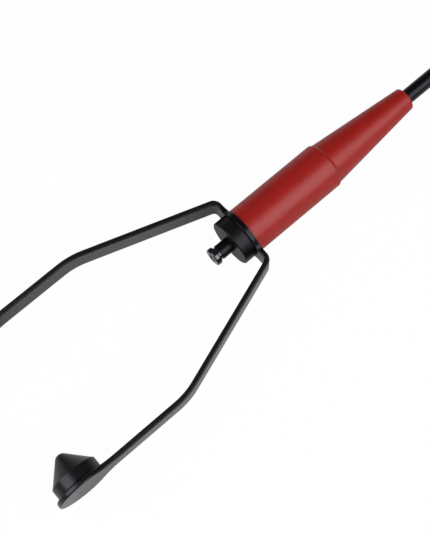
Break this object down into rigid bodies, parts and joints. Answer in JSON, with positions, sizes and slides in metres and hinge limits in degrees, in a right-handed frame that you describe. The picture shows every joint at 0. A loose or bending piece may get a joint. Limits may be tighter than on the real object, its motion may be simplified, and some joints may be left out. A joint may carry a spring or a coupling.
{
  "type": "fly-tying bobbin holder",
  "caption": "Hand tool for fly tying: a tapered handle with a thread tube through it, and a sprung yoke whose cone feet hold a spool of tying thread.",
  "frame": {"origin": "on the handle's axis at the barrel's lower face, where the yoke is clamped", "axes": "+X along the handle towards the tube's tip, +Y across the yoke towards the left arm, +Z across the strip"},
  "size_m": [0.136, 0.0366, 0.0114],
  "materials": {
    "anodised_red": "bead-blasted and anodised red",
    "tube_black": "satin black",
    "eyelet_ceramic": "polished black ceramic",
    "anodised_black": "satin anodised black",
    "spring_strip": "fine matt black coating",
    "stud_steel": "bright turned",
    "cone_plastic": "satin turned black"
  },
  "bodies": {
    "handle": {"barrel": "anodised_red", "nose_cone": "anodised_red", "guide_tube": "tube_black", "tip_eyelet": "eyelet_ceramic", "inlet_eyelet": "eyelet_ceramic", "clamp_screw": "anodised_black", "yoke_bridge": "spring_strip"},
    "arm_left": {"arm_left": "spring_strip", "stud_left": "stud_steel"},
    "arm_right": {"arm_right": "spring_strip", "stud_right": "stud_steel"},
    "cone_left": {"cone_left": "cone_plastic"},
    "cone_right": {"cone_right": "cone_plastic"}
  },
  "joints": [
    {"name": "arm_left_flex", "type": "hinge", "parent": "handle", "child": "arm_left", "pos_m": [-0.00822, 0.01048, 0], "axis": [0, 0, -1], "range_deg": [-8, 8], "stiffness_Nm_per_rad": 3.8},
    {"name": "arm_right_flex", "type": "hinge", "parent": "handle", "child": "arm_right", "pos_m": [-0.00822, -0.01048, 0], "axis": [0, 0, 1], "range_deg": [-8, 8], "stiffness_Nm_per_rad": 3.8},
    {"name": "cone_left_spin", "type": "hinge", "parent": "arm_left", "child": "cone_left", "pos_m": [-0.05485, 0.01725, 0], "axis": [0, 1, 0], "continuous": true},
    {"name": "cone_right_spin", "type": "hinge", "parent": "arm_right", "child": "cone_right", "pos_m": [-0.05485, -0.01725, 0], "axis": [0, 1, 0], "continuous": true}
  ]
}
